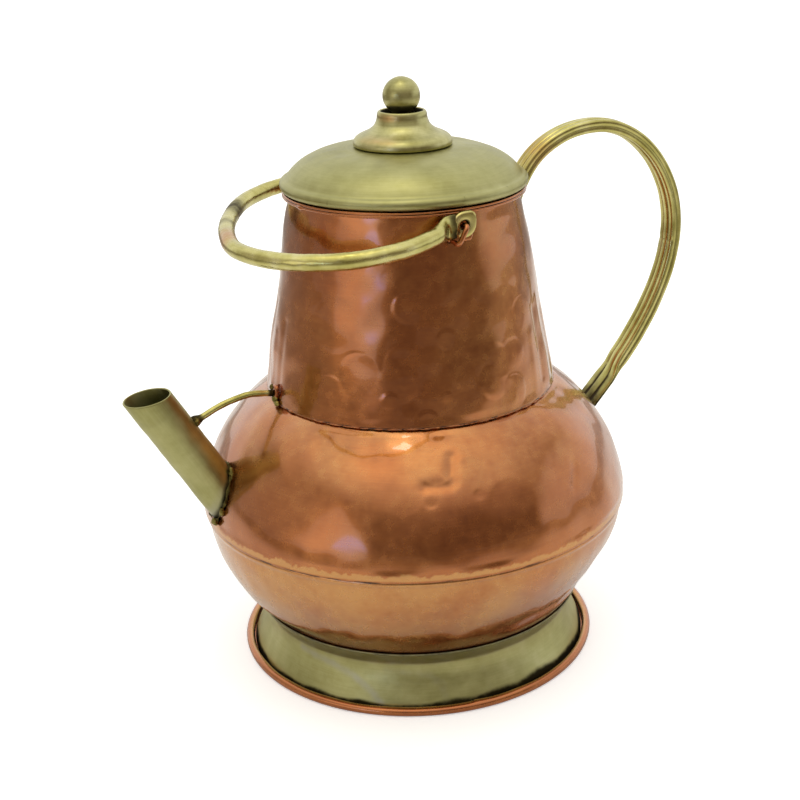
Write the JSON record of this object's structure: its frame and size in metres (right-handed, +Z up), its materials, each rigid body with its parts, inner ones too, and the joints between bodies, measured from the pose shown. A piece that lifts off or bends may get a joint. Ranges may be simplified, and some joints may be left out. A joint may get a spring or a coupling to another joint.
{
  "type": "lidded jug",
  "caption": "Round-bellied copper jug with a brass foot, angled tube spout, swinging bail, fixed rear handle and a lift-off lid with a ball knob.",
  "frame": {"origin": "centre of the foot's underside, on the axis of the vessel", "axes": "+Z up, -X towards the spout, +X towards the rear handle, the bail's two ears on -Y and +Y"},
  "size_m": [0.3118, 0.2198, 0.2967],
  "materials": {
    "copper": "satin",
    "brass": "satin",
    "steel_wire": "drawn"
  },
  "bodies": {
    "jug": {"base_plate": "copper", "foot_wire": "steel_wire", "foot_skirt": "brass", "belly_lower": "copper", "belly_upper": "copper", "neck_shell": "copper", "neck_rim_band": "copper", "spout_tube": "brass", "spout_stay": "brass", "stay_clip": "copper", "rear_handle": "brass", "ear_plate_front": "copper", "ear_plate_back": "copper", "ear_staple_front": "copper", "ear_staple_back": "copper"},
    "bail": {"bail": "brass"},
    "lid": {"lid_dome": "brass", "lid_sleeve": "brass", "lid_boss": "brass", "knob_ball": "brass", "knob_stud": "brass", "knob_washer": "brass", "knob_nut": "brass"}
  },
  "joints": [
    {"name": "bail_swing", "type": "hinge", "parent": "jug", "child": "bail", "pos_m": [0, 0, 0.237], "axis": [0, 1, 0], "range_deg": [0, 163]},
    {"name": "lid_lift", "type": "slide", "parent": "jug", "child": "lid", "axis": [0, 0, 1], "range_m": [0, 0.07]}
  ]
}
